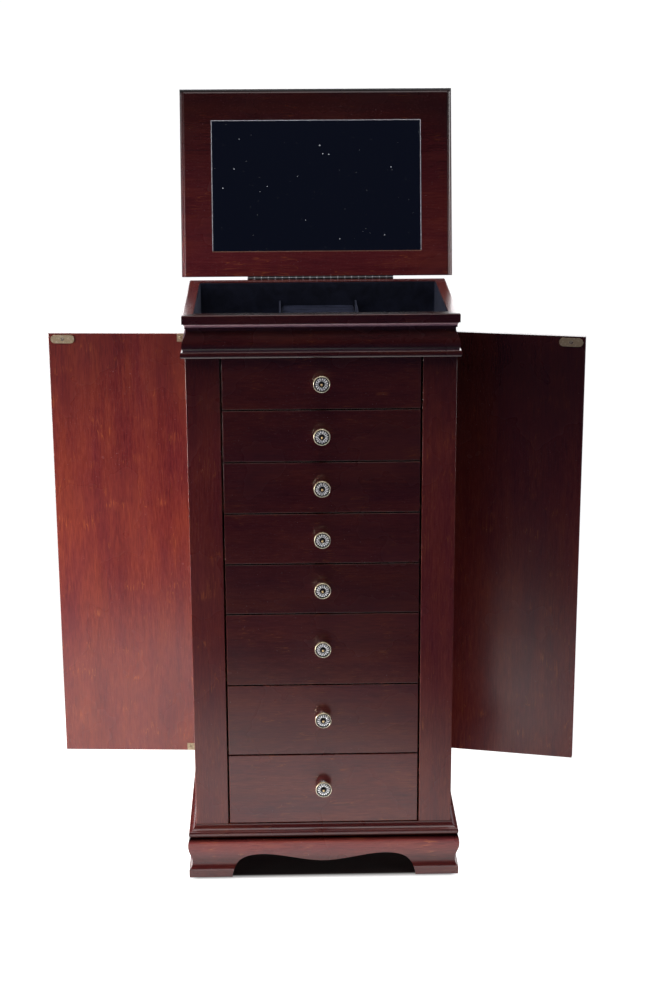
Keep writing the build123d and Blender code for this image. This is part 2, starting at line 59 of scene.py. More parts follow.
# ---------------------------------------------------------------- shader helpers
class Nodes:
    """Adds nodes to one node tree and links them up."""

    def __init__(self, tree):
        self.tree = tree

    def node(self, kind, **settings):
        made = self.tree.nodes.new("ShaderNode" + kind)
        for key, value in settings.items():
            setattr(made, key, value)
        return made

    def link(self, source, target):
        self.tree.links.new(source, target)

    def put(self, socket, value):
        """Set a socket to a constant, or link it to another node's output."""
        if isinstance(value, bpy.types.NodeSocket):
            self.link(value, socket)
        elif isinstance(value, (tuple, list)) and socket.type == "RGBA":
            socket.default_value = (*value[:3], 1.0)
        else:
            socket.default_value = value

    def math(self, operation, a, b=0.0, clamp=False):
        made = self.node("Math", operation=operation, use_clamp=clamp)
        self.put(made.inputs[0], a)
        self.put(made.inputs[1], b)
        return made.outputs[0]

    def vector_math(self, operation, a, b=(0, 0, 0)):
        made = self.node("VectorMath", operation=operation)
        self.put(made.inputs[0], a)
        self.put(made.inputs[1], b)
        return made.outputs["Value" if operation in ("LENGTH", "DISTANCE") else "Vector"]

    def parts(self, vector):
        """The X, Y and Z of a vector."""
        made = self.node("SeparateXYZ")
        self.put(made.inputs[0], vector)
        return made.outputs

    def noise(self, vector, scale, detail=3.0, roughness=0.55, distortion=0.0):
        made = self.node("TexNoise")
        self.put(made.inputs["Vector"], vector)
        made.inputs["Scale"].default_value = scale
        made.inputs["Detail"].default_value = detail
        made.inputs["Roughness"].default_value = roughness
        made.inputs["Distortion"].default_value = distortion
        return made.outputs["Fac"]

    def specks(self, vector, scale, sizes, patch_scale, patch, detail=1.0):
        """Small round specks, only where a coarser noise is high. A speck fades out between two sizes."""
        dots = self.node("TexVoronoi")
        self.put(dots.inputs["Vector"], vector)
        dots.inputs["Scale"].default_value = scale
        dots = self.between(dots.outputs["Distance"], *sizes, 1.0, 0.0)
        patches = self.between(self.noise(vector, patch_scale, detail=detail), *patch)
        return self.math("MULTIPLY", dots, patches)

    def ramp(self, value, *stops):
        """A colour ramp from (place, colour) stops."""
        made = self.node("ValToRGB")
        elements = made.color_ramp.elements
        while len(elements) < len(stops):
            elements.new(0.5)
        for element, (place, colour) in zip(elements, stops):
            element.position = place
            element.color = (*colour, 1.0)
        self.put(made.inputs[0], value)
        return made.outputs["Color"]

    def between(self, value, low, high, out_low=0.0, out_high=1.0):
        """Map low..high to out_low..out_high, clamped."""
        made = self.node("MapRange")
        self.put(made.inputs["Value"], value)
        for name, value in (("From Min", low), ("From Max", high), ("To Min", out_low), ("To Max", out_high)):
            made.inputs[name].default_value = value
        return made.outputs["Result"]

    def mix(self, factor, a, b, blend="MIX"):
        made = self.node("Mix", data_type="RGBA", blend_type=blend)
        self.put(made.inputs["Factor"], factor)
        self.put(made.inputs[6], a)
        self.put(made.inputs[7], b)
        return made.outputs[2]

    def bump(self, height, distance, strength=1.0, normal=None):
        made = self.node("Bump")
        made.inputs["Strength"].default_value = strength
        made.inputs["Distance"].default_value = distance
        self.put(made.inputs["Height"], height)
        if normal is not None:
            self.put(made.inputs["Normal"], normal)
        return made.outputs["Normal"]

    def place(self):
        return self.node("TexCoord").outputs["Object"]

    def turned(self, vector, centre, axis, degrees):
        made = self.node("VectorRotate", rotation_type="AXIS_ANGLE")
        self.put(made.inputs["Vector"], vector)
        made.inputs["Center"].default_value = centre
        made.inputs["Axis"].default_value = axis
        made.inputs["Angle"].default_value = math.radians(degrees)
        return made.outputs["Vector"]

    def stretched(self, vector, scale, offset=(0, 0, 0)):
        made = self.node("Mapping")
        self.put(made.inputs["Vector"], vector)
        made.inputs["Scale"].default_value = scale
        made.inputs["Location"].default_value = offset
        return made.outputs["Vector"]

    def mix_shaders(self, factor, first, second):
        """One shader at factor 0, the other at factor 1."""
        made = self.node("MixShader")
        self.put(made.inputs[0], factor)
        self.link(first.outputs[0], made.inputs[1])
        self.link(second.outputs[0], made.inputs[2])
        return made


class Shader(Nodes):
    """The node tree of one new material, round its Principled BSDF."""

    def __init__(self, name):
        self.material = bpy.data.materials.new(name)
        self.material.use_nodes = True
        super().__init__(self.material.node_tree)
        self.bsdf = self.tree.nodes["Principled BSDF"]
        self.output = self.tree.nodes["Material Output"]

    def surface(self, **values):
        for key, value in values.items():
            self.put(self.bsdf.inputs[key.replace("_", " ")], value)


# ---------------------------------------------------------------- materials
# the stain's two hues; each trio runs from the darkest to the lightest part of the grain
PURPLE = ((0.080, 0.0090, 0.0150), (0.150, 0.0195, 0.0260), (0.220, 0.0370, 0.0400))
AMBER = ((0.095, 0.0110, 0.0085), (0.195, 0.0295, 0.0185), (0.300, 0.0600, 0.0320))
GRAIN_STOPS = (0.15, 0.5, 0.85)
STAIN_GLOW = (0.420, 0.1100, 0.0360)
PORE_BROWN = (0.020, 0.0025, 0.0025)
BARE_EDGE = (0.26, 0.070, 0.032)
# near black, for painted shade in the corners of mouldings
PAINTED_RECESS_SHADE = (0.006, 0.0012, 0.0012)
DUST_GREY = (0.32, 0.27, 0.28)


def cherry_wood(name, axis, seed, tone, low, high, turn=None, shade_recesses=False, warm=0.0,
                fade=None, shaded_band=None, rubbed_and_highlit=(), coat=0.25):
    """Dark cherry stain over close-grained wood under satin lacquer, grain along one axis.
    low and high are the piece's corners, for edge wear, and turn takes a door or the lid from rest to shut.
    shade_recesses paints shade into the corners of a moulding, by ambient occlusion. warm shifts the stain to
    amber.
    fade is (axis, start, end, share): painted shade darkens the colour to that share of its tone from start
    to end.
    shaded_band is the same for a narrow band of painted shade, which is also made metallic, so that it
    reflects almost nothing.
    rubbed_and_highlit lists (height, half width, colour) for painted highlight lines along a moulding."""
    s = Shader(name)
    draw = random.Random(seed)
    place = s.place()
    if turn:
        place = s.turned(place, *turn)
    offset = tuple(draw.uniform(-3, 3) for _ in range(3))

    def along(share):
        """Coordinates that stretch a pattern along the grain, more so the smaller the share."""
        return s.stretched(place, tuple(share if name == axis else 1.0 for name in "XYZ"), offset)

    grain = along(0.05)
    rings = s.node("TexWave", wave_type="RINGS", rings_direction=axis, wave_profile="SIN")
    s.put(rings.inputs["Vector"], grain)
    for name, value in (("Scale", 5.0), ("Distortion", 7.0), ("Detail", 2.0), ("Detail Scale", 2.5),
                        ("Detail Roughness", 0.6)):
        rings.inputs[name].default_value = value
    clouds = s.noise(along(0.22), 12.0, detail=2.0, roughness=0.5)
    blotches = s.noise(along(0.20), 30.0, detail=3.0, roughness=0.55)
    streaks = s.noise(grain, 150.0, detail=4.0, roughness=0.62)
    flecks = s.noise(along(0.12), 430.0, detail=3.0, roughness=0.6)
    fibres = s.noise(along(0.035), 1100.0, detail=2.0)
    layers = ((clouds, 0.42), (blotches, 0.34), (streaks, 0.32), (flecks, 0.62), (fibres, 0.70),
              (rings.outputs["Fac"], 0.05))
    depth = 0.5 - sum(weight for _, weight in layers) / 2
    for pattern, weight in layers:
        depth = s.math("ADD", s.math("MULTIPLY", pattern, weight), depth)
    purple = s.ramp(depth, *zip(GRAIN_STOPS, PURPLE))
    amber = s.ramp(depth, *zip(GRAIN_STOPS, AMBER))
    warmth = s.math("ADD", s.math("MULTIPLY", blotches, 0.7), s.math("MULTIPLY", streaks, 0.3))
    colour = s.mix(s.between(warmth, 0.28 - warm, 0.72 - warm), purple, amber)

    flames = s.noise(along(0.09), 170.0, detail=1.0, distortion=0.5)
    flames = s.between(s.math("ABSOLUTE", s.math("SUBTRACT", flames, 0.5)), 0.0, 0.022, 1.0, 0.0)
    flames = s.math("MULTIPLY", flames, s.between(s.noise(place, 24.0, detail=1.0), 0.56, 0.66))
    colour = s.mix(s.math("MULTIPLY", flames, 0.7), colour, STAIN_GLOW)
    pores = s.between(s.noise(along(0.10), 1700.0, detail=1.0), 0.68, 0.80)
    colour = s.mix(s.math("MULTIPLY", pores, 0.45), colour, PORE_BROWN)
    colour = s.mix(edge_wear(s, place, low, high), colour, BARE_EDGE)
    # painted shade: darker where ambient occlusion finds a recess
    if shade_recesses:
        hollow = s.node("AmbientOcclusion", samples=8)
        hollow.inputs["Distance"].default_value = 0.014
        colour = s.mix(s.between(hollow.outputs["AO"], 0.15, 0.60, 0.92, 0.0), colour, PAINTED_RECESS_SHADE)
    colour = s.mix(1.0, colour, (tone, tone, tone), blend="MULTIPLY")
    parts = s.parts(place)
    band_shade = None
    # painted shade: each band darkens the colour towards one end
    for band in filter(None, (fade, shaded_band)):
        axis_number, start, end, share = band
        shade = s.between(parts[axis_number], start, end)
        colour = s.mix(shade, colour, s.mix(1.0, colour, (share, share, share), blend="MULTIPLY"))
        if band is shaded_band:
            band_shade = shade
    # painted highlight lines along the moulding
    for height, half_width, wear_and_highlight in rubbed_and_highlit:
        gap = s.math("ABSOLUTE", s.math("SUBTRACT", parts[2], height))
        thin = s.between(gap, half_width, half_width * 0.5)
        colour = s.mix(thin, colour, wear_and_highlight)

    coarse = s.specks(place, 42.0, (0.020, 0.034), 11.0, (0.56, 0.64))
    fine = s.specks(place, 170.0, (0.050, 0.095), 95.0, (0.58, 0.66))
    dust = s.math("MAXIMUM", coarse, fine)
    colour = s.mix(s.math("MULTIPLY", dust, 0.6), colour, DUST_GREY)
    smudges = s.noise(place, 7.0, detail=3.0, roughness=0.5)
    roughness = s.between(smudges, 0.30, 0.72, 0.22, 0.31)
    roughness = s.math("ADD", roughness, s.math("MULTIPLY", pores, 0.15))
    roughness = s.math("ADD", roughness, s.math("MULTIPLY", dust, 0.3), clamp=True)

    peel = s.bump(s.noise(place, 240.0, detail=1.0), 0.00006, 0.5)
    height = s.math("SUBTRACT", s.math("MULTIPLY", streaks, 0.5), pores)
    s.surface(Base_Color=colour, Roughness=roughness, IOR=1.48, Normal=s.bump(height, 0.00005, 0.6, peel))
    s.bsdf.inputs["Coat Weight"].default_value = coat
    s.bsdf.inputs["Coat Roughness"].default_value = 0.12
    if band_shade is not None:
        s.surface(Metallic=band_shade, Coat_Weight=s.math("MULTIPLY", s.math("SUBTRACT", 1.0, band_shade), coat))
    return s.material


def edge_wear(s, place, low, high):
    """Above 0 along the worn edges of the box from low to high, with a width that noise breaks up."""
    parts = s.parts(place)
    gaps = []
    for axis in range(3):
        below = s.math("SUBTRACT", parts[axis], low[axis])
        above = s.math("SUBTRACT", high[axis], parts[axis])
        gaps.append(s.math("MINIMUM", below, above))
    total = s.math("ADD", s.math("ADD", gaps[0], gaps[1]), gaps[2])
    largest = s.math("MAXIMUM", s.math("MAXIMUM", gaps[0], gaps[1]), gaps[2])
    nearest = s.math("SUBTRACT", total, largest)
    width = s.between(s.noise(place, 55.0, detail=4.0), 0.38, 0.72, 0.0003, 0.0024)
    return s.between(s.math("DIVIDE", nearest, width), 0.5, 1.3, 0.28, 0.0)


def pale_wood(name, seed):
    """Thinly lacquered hardwood for what hides inside."""
    s = Shader(name)
    draw = random.Random(seed)
    offset = tuple(draw.uniform(-2, 2) for _ in range(3))
    place = s.place()
    grain = s.stretched(place, (1.0, 0.06, 1.0), offset)
    streaks = s.noise(grain, 140.0, detail=5.0, roughness=0.65)
    clouds = s.noise(grain, 22.0, detail=3.0)
    depth = s.math("ADD", s.math("MULTIPLY", streaks, 0.6), s.math("MULTIPLY", clouds, 0.4))
    depth = s.between(depth, 0.32, 0.68)
    colour = s.ramp(depth, (0.0, (0.17, 0.095, 0.050)), (0.5, (0.33, 0.21, 0.12)),
                    (1.0, (0.47, 0.33, 0.20)))
    pores = s.between(s.noise(grain, 1100.0, detail=1.0), 0.66, 0.76)
    colour = s.mix(s.math("MULTIPLY", pores, 0.5), colour, (0.10, 0.05, 0.025))
    roughness = s.between(s.noise(place, 30.0), 0.3, 0.7, 0.48, 0.62)
    s.surface(Base_Color=colour, Roughness=roughness, Normal=s.bump(streaks, 0.00008, 0.7))
    return s.material


def velvet(name, seed, lift=1.0):
    """Black short-pile velvet with brushed patches and lint."""
    s = Shader(name)
    place = s.stretched(s.place(), (1, 1, 1), (seed, seed * 0.37, 0))
    pile = s.noise(place, 2600.0, detail=2.0)
    brushed = s.noise(place, 38.0, detail=4.0, roughness=0.6, distortion=0.8)
    colour = s.ramp(s.between(brushed, 0.3, 0.7), (0.0, (0.0050 * lift, 0.0060 * lift, 0.0130 * lift)),
                    (1.0, (0.0130 * lift, 0.0150 * lift, 0.0300 * lift)))
    lint = s.specks(place, 95.0, (0.03, 0.05), 30.0, (0.6, 0.66), detail=3.0)
    colour = s.mix(s.math("MULTIPLY", lint, 0.35), colour, (0.20, 0.20, 0.22))
    s.surface(Base_Color=colour, Roughness=0.92, Normal=s.bump(pile, 0.0003, 0.8))
    s.bsdf.inputs["Specular IOR Level"].default_value = 0.15
    s.bsdf.inputs["Sheen Weight"].default_value = 0.35
    s.bsdf.inputs["Sheen Roughness"].default_value = 0.35
    s.bsdf.inputs["Sheen Tint"].default_value = (0.16, 0.17, 0.24, 1.0)
    return s.material


def mirror_edge(name, frame_reflection_from):
    """The ground edge of the glass: silver, with a painted brown reflection of the frame on the hinge side.
    """
    s = Shader(name)
    place = s.place()
    chips = s.noise(place, 700.0, detail=3.0)
    colour = s.ramp(s.between(chips, 0.3, 0.7), (0.0, (0.34, 0.35, 0.40)), (1.0, (0.90, 0.92, 1.0)))
    # painted reflection of the frame, brown towards the hinge side
    warm = s.between(s.parts(place)[1], frame_reflection_from - 0.2 * MM, frame_reflection_from)
    colour = s.mix(warm, colour, (0.30, 0.14, 0.085))
    s.surface(Base_Color=colour, Metallic=0.25, Roughness=s.between(chips, 0.3, 0.7, 0.2, 0.5))
    return s.material


def mirror_glass(name):
    """Silvered glass with dust, faint wipe marks and a little haze."""
    s = Shader(name)
    place = s.place()
    coarse = s.specks(place, 52.0, (0.034, 0.052), 31.0, (0.50, 0.54))
    fine = s.specks(place, 130.0, (0.050, 0.085), 70.0, (0.54, 0.62, 0.0, 0.30))
    dust = s.math("MAXIMUM", coarse, fine)
    wiped = s.noise(s.stretched(place, (1.0, 0.5, 0.25)), 19.0, detail=5.0, roughness=0.7, distortion=2.0)
    roughness = s.between(wiped, 0.45, 0.75, 0.012, 0.060)
    roughness = s.math("ADD", roughness, s.math("MULTIPLY", dust, 0.6))
    colour = s.mix(dust, (0.86, 0.89, 0.91), (0.85, 0.92, 1.0))
    metallic = s.math("SUBTRACT", 1.0, dust)
    s.surface(Base_Color=colour, Roughness=roughness, Metallic=metallic)
    return s.material


def antique_nickel(name):
    """Nickel with a brassy rim and dark patina, its grooves and the creases between its petals near black,
    partly patina and partly painted shade, for a knob that points along its own Z.
    """
    s = Shader(name)
    place = s.place()
    flat = s.vector_math("MULTIPLY", place, (1, 1, 0))
    radius = s.vector_math("LENGTH", flat)
    across = s.math("DIVIDE", radius, KNOB_RADIUS)
    # the near black of the grooves is partly patina and partly painted shade
    petal_white, groove_shade, rim_groove_shade = (0.96, 0.96, 0.98), (0.012, 0.011, 0.014), (0.012, 0.011, 0.016)
    bands = s.ramp(
        across,
        (0.00, (0.90, 0.66, 0.34)), (0.10, (0.85, 0.62, 0.30)), (0.14, (0.20, 0.15, 0.10)),
        (0.18, groove_shade), (0.33, groove_shade), (0.36, petal_white),
        (0.74, petal_white), (0.78, rim_groove_shade), (0.86, rim_groove_shade),
        (0.89, (0.94, 0.88, 0.72)), (0.95, (0.90, 0.80, 0.60)), (1.0, (0.50, 0.34, 0.16)),
    )
    parts = s.parts(place)
    turn = s.math("MULTIPLY", s.math("ARCTAN2", parts[1], parts[0]), PETALS / (2 * math.pi))
    crease = s.math("FRACT", s.math("ADD", turn, PETALS))
    crease = s.between(s.math("ABSOLUTE", s.math("SUBTRACT", crease, 0.5)), 0.27, 0.37)
    ring = s.math("MULTIPLY", s.between(across, 0.30, 0.34), s.between(across, 0.74, 0.78, 1.0, 0.0))
    # the creases between the petals go near black: painted shade
    bands = s.mix(s.math("MULTIPLY", crease, ring), bands, groove_shade)
    patina = s.noise(place, 900.0, detail=4.0, roughness=0.65)
    colour = s.mix(s.between(patina, 0.58, 0.74, 0.0, 0.4), bands, (0.16, 0.13, 0.10))
    roughness = s.between(patina, 0.3, 0.7, 0.16, 0.34)
    s.surface(Base_Color=colour, Metallic=0.65, Roughness=roughness, Normal=s.bump(patina, 0.00003, 0.5))
    return s.material


def worn_metal(name, body, wear_and_highlight, roughness, metallic=1.0):
    """Plated metal: a body colour, patches of wear and fine scratches."""
    s = Shader(name)
    place = s.place()
    rubbed_and_highlit = s.noise(place, 260.0, detail=5.0, roughness=0.65)
    scratches = s.noise(s.stretched(place, (0.15, 1.0, 1.0)), 2080.0, detail=2.0)
    colour = s.mix(s.between(rubbed_and_highlit, 0.52, 0.68, 0.0, 0.8), body, wear_and_highlight)
    colour = s.mix(s.between(scratches, 0.62, 0.72, 0.0, 0.4), colour, wear_and_highlight)
    rough = s.between(rubbed_and_highlit, 0.3, 0.7, roughness + 0.08, roughness - 0.08)
    s.surface(Base_Color=colour, Metallic=metallic, Roughness=rough, Normal=s.bump(scratches, 0.00002, 0.5))
    return s.material


def felt(name):
    """Dark fuzzy felt, for the pads under the feet."""
    s = Shader(name)
    place = s.place()
    fuzz = s.noise(place, 1400.0, detail=4.0, roughness=0.7)
    colour = s.ramp(s.between(fuzz, 0.3, 0.7), (0.0, (0.006, 0.004, 0.004)), (1.0, (0.035, 0.022, 0.020)))
    s.surface(Base_Color=colour, Roughness=0.95, Normal=s.bump(fuzz, 0.0004, 0.9))
    return s.material


def moulded_plastic(name, colour_low, colour_high):
    """Slightly mottled brown plastic, for the catches."""
    s = Shader(name)
    place = s.place()
    mottle = s.noise(place, 300.0, detail=3.0)
    colour = s.ramp(s.between(mottle, 0.3, 0.7), (0.0, colour_low), (1.0, colour_high))
    rough = s.between(s.noise(place, 45.0), 0.3, 0.7, 0.38, 0.52)
    s.surface(Base_Color=colour, Roughness=rough, Normal=s.bump(mottle, 0.00003, 0.5))
    return s.material


# ---------------------------------------------------------------- mesh helpers
def make_piece(name, vertices, faces, material, smooth=True):
    mesh = bpy.data.meshes.new(name)
    mesh.from_pydata([tuple(v) for v in vertices], [], faces)
    mesh.update()
    if smooth:
        mesh.shade_smooth()
    piece = bpy.data.objects.new(name, mesh)
    piece.data.materials.append(material)
    bpy.context.scene.collection.objects.link(piece)
    return piece


def add_modifier(piece, kind, **settings):
    made = piece.modifiers.new(kind.lower(), kind)
    for key, value in settings.items():
        setattr(made, key, value)
    return made


def joined_rings(rings, count):
    """Faces that join each ring of count points to the next ring."""
    faces = []
    for a in range(0, (rings - 1) * count, count):
        for k in range(count):
            after = (k + 1) % count
            faces.append((a + k, a + after, a + count + after, a + count + k))
    return faces


def turned_solid(profile, segments, shape=None):
    """Vertices and faces of a profile of (radius, height) turned about Z; shape may move a vertex.
    The profile starts and ends on the axis."""
    vertices = [(0.0, 0.0, profile[0][1])]
    faces = []
    middle = profile[1:-1]
    for radius, height in middle:
        for k in range(segments):
            angle = 2 * math.pi * k / segments
            r, h = shape(radius, height, angle) if shape else (radius, height)
            vertices.append((r * math.cos(angle), r * math.sin(angle), h))
    last = len(vertices)
    vertices.append((0.0, 0.0, profile[-1][1]))
    for k in range(segments):
        after = (k + 1) % segments
        faces.append((0, 1 + after, 1 + k))
        for ring in range(len(middle) - 1):
            a = 1 + ring * segments
            b = a + segments
            faces.append((a + k, a + after, b + after, b + k))
        top = 1 + (len(middle) - 1) * segments
        faces.append((top + k, top + after, last))
    return vertices, faces


def pointing(direction, place, roll=0.0):
    """A matrix that puts a piece's own +Z along direction at place."""
    turn = Vector(direction).to_track_quat("Z", "Y").to_matrix().to_4x4()
    return Matrix.Translation(place) @ turn @ Matrix.Rotation(roll, 4, "Z")


# ---------------------------------------------------------------- rest pose and shared materials
# how the lid and the doors turn from rest to shut: a point on the hinge's axis, its direction, degrees
LID_SHUT = (tuple(joints["lid_hinge"]["pos_m"]), (1, 0, 0), 103.0)
LEFT_SHUT = (tuple(joints["left_door_hinge"]["pos_m"]), (0, 0, 1), 93.0)
RIGHT_SHUT = (tuple(joints["right_door_hinge"]["pos_m"]), (0, 0, 1), -76.6)


def at_rest(shut, matrix=Matrix.Identity(4)):
    """A matrix that takes a piece placed on a shut door or lid to where that stands at rest."""
    place, axis, degrees = shut
    turn = Matrix.Rotation(math.radians(-degrees), 4, Vector(axis))
    return Matrix.Translation(place) @ turn @ Matrix.Translation(-Vector(place)) @ matrix


def shut_box(node, shut):
    """The low and high corners of a door's or the lid's CAD node as it stands when shut."""
    back = at_rest(shut).inverted()
    corners = list(zip(*(back @ vertex.co for vertex in frame["nodes"][node].data.vertices)))
    return Vector([min(axis) for axis in corners]), Vector([max(axis) for axis in corners])


velvet_lining = velvet("velvet_lining", 1.0)
velvet_rolls = velvet("velvet_rolls", 4.0, lift=1.1)
velvet_drawers = velvet("velvet_drawers", 7.0)
glass = mirror_glass("mirror_silver")
nickel = antique_nickel("knob_nickel")
brass = worn_metal("antique_brass", (0.42, 0.33, 0.21), (0.66, 0.56, 0.40), 0.42, metallic=0.45)
steel = worn_metal("screw_steel", (0.42, 0.38, 0.31), (0.70, 0.66, 0.58), 0.28)
glide_felt = felt("glide_felt")
catch_plastic = moulded_plastic("catch_plastic", (0.10, 0.055, 0.035), (0.14, 0.080, 0.050))

PIANO_KNUCKLES = 21
PIANO_LOW, PIANO_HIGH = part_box("piano_hinge_pin")


def hinge_black(name):
    """Black enamel with painted highlights where the knuckles meet, and patches of wear."""
    s = Shader(name)
    place = s.place()
    pitch = (PIANO_HIGH.x - PIANO_LOW.x) / PIANO_KNUCKLES
    from_end = s.math("SUBTRACT", s.parts(place)[0], PIANO_LOW.x)
    along = s.math("FRACT", s.math("DIVIDE", from_end, pitch))
    # painted highlight where each knuckle meets the next
    joint = s.between(s.math("ABSOLUTE", s.math("SUBTRACT", along, 0.5)), 0.36, 0.46)
    rubbed_and_highlit = s.noise(place, 420.0, detail=4.0, roughness=0.65)
    wear_and_highlight = s.math("MULTIPLY", joint, s.between(rubbed_and_highlit, 0.3, 0.6))
    wear_and_highlight = s.math("MAXIMUM", wear_and_highlight, s.between(rubbed_and_highlit, 0.60, 0.70))
    colour = s.mix(wear_and_highlight, (0.008, 0.008, 0.011), (0.20, 0.20, 0.22))
    roughness = s.between(rubbed_and_highlit, 0.3, 0.7, 0.42, 0.26)
    s.surface(Base_Color=colour, Metallic=s.math("MULTIPLY", wear_and_highlight, 0.6), Roughness=roughness,
              Normal=s.bump(rubbed_and_highlit, 0.00003, 0.5))
    return s.material


# ---------------------------------------------------------------- materials for the CAD nodes that stay
def dress(node, material):
    """Give a CAD node one material."""
    mesh = frame["nodes"][node].data
    mesh.materials.clear()
    mesh.materials.append(material)


Y_AXIS, Z_AXIS = 1, 2
RIM_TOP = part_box("top_box_back")[1].z
CORNICE_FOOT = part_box("cornice_front")[0].z
SKIRT_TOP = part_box("front_skirt")[1].z
# bands of painted shade: axis, start, end, share of the tone
# the posts darker towards their tops: painted shadow of the cornice
POST_FADE = (Z_AXIS, 0.78, 0.93, 0.40)
# the skirts darker towards the feet: painted shade
SKIRT_FADE = (Z_AXIS, 0.060, 0.034, 0.40)
# painted shadow on the skirts just under the base moulding
UNDER_MOULDING = (Z_AXIS, SKIRT_TOP - 10.0 * MM, SKIRT_TOP - 3.0 * MM, 0.08)
# painted shade along the foot of the base moulding's bead
BEAD_FOOT = (Z_AXIS, SKIRT_TOP + 4.0 * MM, SKIRT_TOP + 1.2 * MM, 0.08)
# painted shade along the rim's top edge on the cornice front
RIM_EDGE = (Z_AXIS, RIM_TOP - 0.8 * MM, RIM_TOP - 0.3 * MM, 0.3)
# painted highlight lines along the cornice: height, half width, colour
LEDGE_HIGHLIGHTS = ((RIM_TOP - 18.3 * MM, 3.2 * MM, (0.70, 0.38, 0.42)),
          (CORNICE_FOOT + 11.6 * MM, 1.6 * MM, (0.16, 0.075, 0.095)))
WOODS = (
    # node, grain axis, seed, tone, other settings
    ("left_post", "Z", 11, 0.90, dict(fade=POST_FADE, coat=0.08)),
    ("right_post", "Z", 12, 0.98, dict(fade=POST_FADE, coat=0.08)),
    ("inner_walls", "Z", 13, 0.8, {}),
    ("bottom_board", "X", 14, 0.9, {}),
    ("back_panel", "Z", 15, 1.0, {}),
    ("side_rails", "Z", 16, 1.0, {}),
    ("cornice_front", "X", 17, 0.32, dict(warm=-0.12, shaded_band=RIM_EDGE, rubbed_and_highlit=LEDGE_HIGHLIGHTS)),
    ("cornice_left", "Y", 18, 0.45, dict(rubbed_and_highlit=LEDGE_HIGHLIGHTS)),
    ("cornice_right", "Y", 19, 0.45, dict(rubbed_and_highlit=LEDGE_HIGHLIGHTS)),
    ("top_box_back", "X", 20, 0.45, {}),
    ("base_moulding", "X", 21, 0.55, dict(shade_recesses=True, shaded_band=BEAD_FOOT)),
    ("front_skirt", "X", 22, 1.55,
     dict(shade_recesses=True, shaded_band=UNDER_MOULDING, fade=SKIRT_FADE, coat=0.05)),
    ("side_skirts", "Y", 23, 1.2,
     dict(shade_recesses=True, shaded_band=UNDER_MOULDING, fade=SKIRT_FADE, coat=0.05)),
    ("rear_skirt", "X", 24, 0.9, {}),
    ("hook_rails", "Y", 25, 0.9, {}),
)
for node, axis, seed, tone, settings in WOODS:
    dress(node, cherry_wood("wood_" + node, axis, seed, tone, *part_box(node), **settings))

# the fronts' tones from top to bottom; the lowest three are lighter with painted light from the floor below
DRAWER_TONES_AND_FLOOR_LIGHT = (0.44, 0.42, 0.42, 0.44, 0.40, 0.52, 0.68, 0.86)
for number, tone in enumerate(DRAWER_TONES_AND_FLOOR_LIGHT, 1):
    node = f"drawer_{number}_front"
    dress(node, cherry_wood("wood_" + node, "X", 40 + number * 3, tone, *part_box(node), coat=0.15))
    dress(f"drawer_{number}_box", pale_wood(f"wood_drawer_{number}_box", 70 + number))

# the left door's colour darkens towards its top: painted shade
low, high = shut_box("left_door", LEFT_SHUT)
dress("left_door", cherry_wood("wood_left_door", "Z", 61, 1.18, low, high, turn=LEFT_SHUT, warm=0.08,
                               fade=(Z_AXIS, 0.55, 0.93, 0.60)))
# the right door's colour darkens towards its top: painted shade
low, high = shut_box("right_door", RIGHT_SHUT)
dress("right_door", cherry_wood("wood_right_door", "Z", 63, 1.30, low, high, turn=RIGHT_SHUT,
                                fade=(Z_AXIS, 0.25, 0.86, 0.17), coat=0.05))
# the lid darkens towards its top edge as it stands open, and that edge goes near black: painted shade
low, high = shut_box("lid_panel", LID_SHUT)
dress("lid_panel", cherry_wood("wood_lid", "X", 65, 0.62, low, high, turn=LID_SHUT, warm=-0.16,
                               fade=(Y_AXIS, high.y - 30 * MM, low.y + 30 * MM, 0.26),
                               shaded_band=(Y_AXIS, low.y + 8.0 * MM, low.y + 5.5 * MM, 0.05)))

for node in ("top_deck", "drawer_runners", "corner_blocks"):
    dress(node, pale_wood("wood_" + node, len(node)))
dress("mirror", glass)
black_metal = hinge_black("piano_hinge_black")
for node in ("piano_hinge_case_leaf", "piano_hinge_lid_leaf", "piano_hinge_pin"):
    dress(node, black_metal)
for node in ("left_strike_plate", "right_strike_plate", "left_door_hinges", "right_door_hinges",
             "case_hinge_leaves", "necklace_hooks"):
    dress(node, brass)
dress("foot_glides", glide_felt)
dress("catch_magnets", catch_plastic)


# ---------------------------------------------------------------- knobs


def petal(radius, height, angle):
    """Raises a ring of long beads round the knob's face, with deep creases between them."""
    if not PETAL_INNER < radius < PETAL_OUTER or height < KNOB_FACE - 0.05 * MM:
        return radius, height
    out = (2 * radius - PETAL_INNER - PETAL_OUTER) / (PETAL_OUTER - PETAL_INNER)
    around = 2 * ((angle * PETALS / (2 * math.pi)) % 1.0) - 1
    dome = max(0.0, 1 - out * out - (0.92 * around) ** 2)
    return radius, height + PETAL_RISE * math.sqrt(dome)


